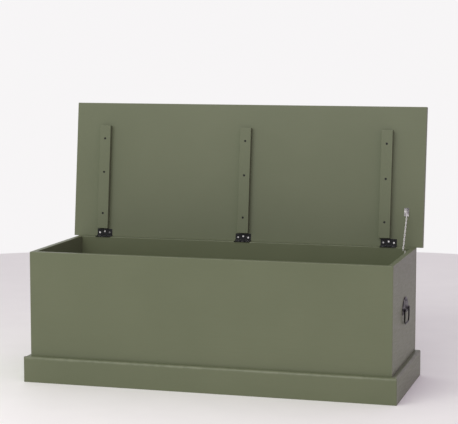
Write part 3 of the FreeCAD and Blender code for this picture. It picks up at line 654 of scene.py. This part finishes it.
class ToyBoxScrews(bpy.types.Operator):
    """Screws of the hinges, battens and cleats"""

    bl_idname = "toy_box.screws"
    bl_label = "Screws"

    def execute(self, context):
        metals = context.scene.toy_box_metal
        # Painted shade: dark patches fall at random on the zinc heads, so that only some of them show a
        # bright glint.
        zinc = metal("zinc", metals.zinc, 0.28, spots=metals.tarnish_and_shade, spread=0.45, patch=30.0)
        # Black heads for the batten screws. Their black is partly painted shade, darkening the counterbored
        # holes they sit in.
        dark = metal("dark_screw", metals.black, 0.4, metallic=0.5)
        for node in nodes_named("hinge_lower_screws", "hinge_upper_screws", "cleat_screws"):
            dress(node, zinc)
        dress("batten_screws", dark)
        return {"FINISHED"}


# -------------------------------------------------------------------------------------------- stage


def aim(thing, place, target):
    """Stands a light or camera at a place, turned towards a point."""
    thing.location = place
    thing.rotation_euler = (Vector(target) - Vector(place)).to_track_quat("-Z", "Y").to_euler()


def soft_panel(stage):
    """One large rectangular light, high in front of the box."""
    light = bpy.data.lights.new("key", "AREA")
    light.energy = stage.key
    light.shape = "RECTANGLE"
    light.size = stage.key_width
    light.size_y = stage.key_height
    lamp = bpy.data.objects.new("key", light)
    bpy.context.scene.collection.objects.link(lamp)
    aim(lamp, stage.key_place, stage.key_target)


def pale_floor(stage):
    """A round floor with a soft speckle, painted a little brighter to the right as painted light, making up
    for the weaker light there.
    """
    shape = bmesh.new()
    bmesh.ops.create_circle(shape, cap_ends=True, segments=96, radius=stage.floor_radius)
    mesh = bpy.data.meshes.new("floor")
    shape.to_mesh(mesh)
    shape.free()
    floor = bpy.data.objects.new("floor", mesh)
    bpy.context.scene.collection.objects.link(floor)
    finish = Finish("floor")
    finish.shader.inputs["Roughness"].default_value = 0.6
    along = finish.nodes.new("ShaderNodeSeparateXYZ")
    finish.link(finish.place, along.inputs["Vector"])
    # Painted light: the floor's colour grows brighter towards the right, where less light falls.
    sideways = finish.ramp(along.outputs["X"], low=0.0, high=2.5)
    tone = finish.blend(sideways, tuple(stage.floor), tuple(stage.floor_right_painted_light))
    speckle = finish.ramp(finish.noise(scale=6.0), low=0.3, high=0.7, light=0.5)
    shaded = finish.blend(speckle, tone, tuple(SPECKLE_SHADE * c for c in stage.floor))
    finish.link(shaded, finish.shader.inputs["Base Color"])
    mesh.materials.append(finish.material)


def surroundings(stage):
    """A plain backdrop for the camera, and light that is weaker from the right."""
    world = bpy.data.worlds.new("surroundings")
    world.use_nodes = True
    nodes, links = world.node_tree.nodes, world.node_tree.links
    place = nodes.new("ShaderNodeTexCoord")
    along = nodes.new("ShaderNodeSeparateXYZ")
    links.new(place.outputs["Generated"], along.inputs["Vector"])
    # The light changes from a little left of straight ahead to well round on the right.
    sideways = nodes.new("ShaderNodeMapRange")
    sideways.inputs["From Min"].default_value = -0.3
    sideways.inputs["From Max"].default_value = 0.7
    links.new(along.outputs["X"], sideways.inputs["Value"])
    tone = nodes.new("ShaderNodeMix")
    tone.data_type = "RGBA"
    links.new(sideways.outputs["Result"], tone.inputs["Factor"])
    tone.inputs[6].default_value = (*stage.fill, 1.0)
    tone.inputs[7].default_value = (*stage.fill_right, 1.0)
    lit = nodes["Background"]
    links.new(tone.outputs[2], lit.inputs["Color"])
    seen = nodes.new("ShaderNodeBackground")
    seen.inputs["Color"].default_value = (*stage.backdrop, 1.0)
    path = nodes.new("ShaderNodeLightPath")
    mix = nodes.new("ShaderNodeMixShader")
    links.new(path.outputs["Is Camera Ray"], mix.inputs[0])
    links.new(lit.outputs[0], mix.inputs[1])
    links.new(seen.outputs[0], mix.inputs[2])
    links.new(mix.outputs[0], nodes["World Output"].inputs["Surface"])
    bpy.context.scene.world = world


class ToyBoxStudio(bpy.types.Operator):
    """Pale floor, bright surroundings, one large soft light and the camera"""

    bl_idname = "toy_box.studio"
    bl_label = "Studio"

    def execute(self, context):
        scene = context.scene
        stage = scene.toy_box_stage
        pale_floor(stage)
        surroundings(stage)
        soft_panel(stage)

        data = bpy.data.cameras.new("camera")
        data.lens = stage.lens
        data.sensor_width = 36.0
        camera = bpy.data.objects.new("camera", data)
        scene.collection.objects.link(camera)
        az, el = stage.azimuth, stage.elevation
        back = Vector((math.sin(az) * math.cos(el), -math.cos(az) * math.cos(el), math.sin(el)))
        aim(camera, Vector(stage.target) + back * stage.distance, stage.target)
        scene.camera = camera
        scene.view_settings.view_transform = "Standard"
        return {"FINISHED"}


# ------------------------------------------------------------------------------------------ sidebar

GROUPS = (
    ("toy_box_paint", ToyBoxPaint),
    ("toy_box_wood", ToyBoxWood),
    ("toy_box_metal", ToyBoxMetal),
    ("toy_box_stage", ToyBoxStage),
)
OPERATORS = (
    ToyBoxBoards,
    ToyBoxPlinth,
    ToyBoxLid,
    ToyBoxCarcass,
    ToyBoxHinges,
    ToyBoxHandles,
    ToyBoxStay,
    ToyBoxScrews,
    ToyBoxStudio,
)


class ToyBoxPanel(bpy.types.Panel):
    """Lists the box's pieces and its sizes"""

    bl_idname = "VIEW3D_PT_toy_box"
    bl_label = "Toy Box"
    bl_space_type = "VIEW_3D"
    bl_region_type = "UI"
    bl_category = "Toy Box"

    def draw(self, context):
        for operator in OPERATORS:
            self.layout.operator(operator.bl_idname)
        for group, _ in GROUPS:
            settings = getattr(context.scene, group)
            box = self.layout.box()
            for name in settings.__annotations__:
                box.prop(settings, name)


def register():
    """Adds the sizes, the operators and the sidebar panel to Blender."""
    for _, group in GROUPS:
        bpy.utils.register_class(group)
    for name, group in GROUPS:
        setattr(bpy.types.Scene, name, bpy.props.PointerProperty(type=group))
    for operator in OPERATORS:
        bpy.utils.register_class(operator)
    bpy.utils.register_class(ToyBoxPanel)


def unregister():
    """Takes them out again."""
    bpy.utils.unregister_class(ToyBoxPanel)
    for operator in reversed(OPERATORS):
        bpy.utils.unregister_class(operator)
    for name, group in reversed(GROUPS):
        delattr(bpy.types.Scene, name)
        bpy.utils.unregister_class(group)


def main():
    """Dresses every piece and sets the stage."""
    register()
    for operator in OPERATORS:
        family, name = operator.bl_idname.split(".")
        getattr(getattr(bpy.ops, family), name)()


if __name__ == "__main__":
    main()
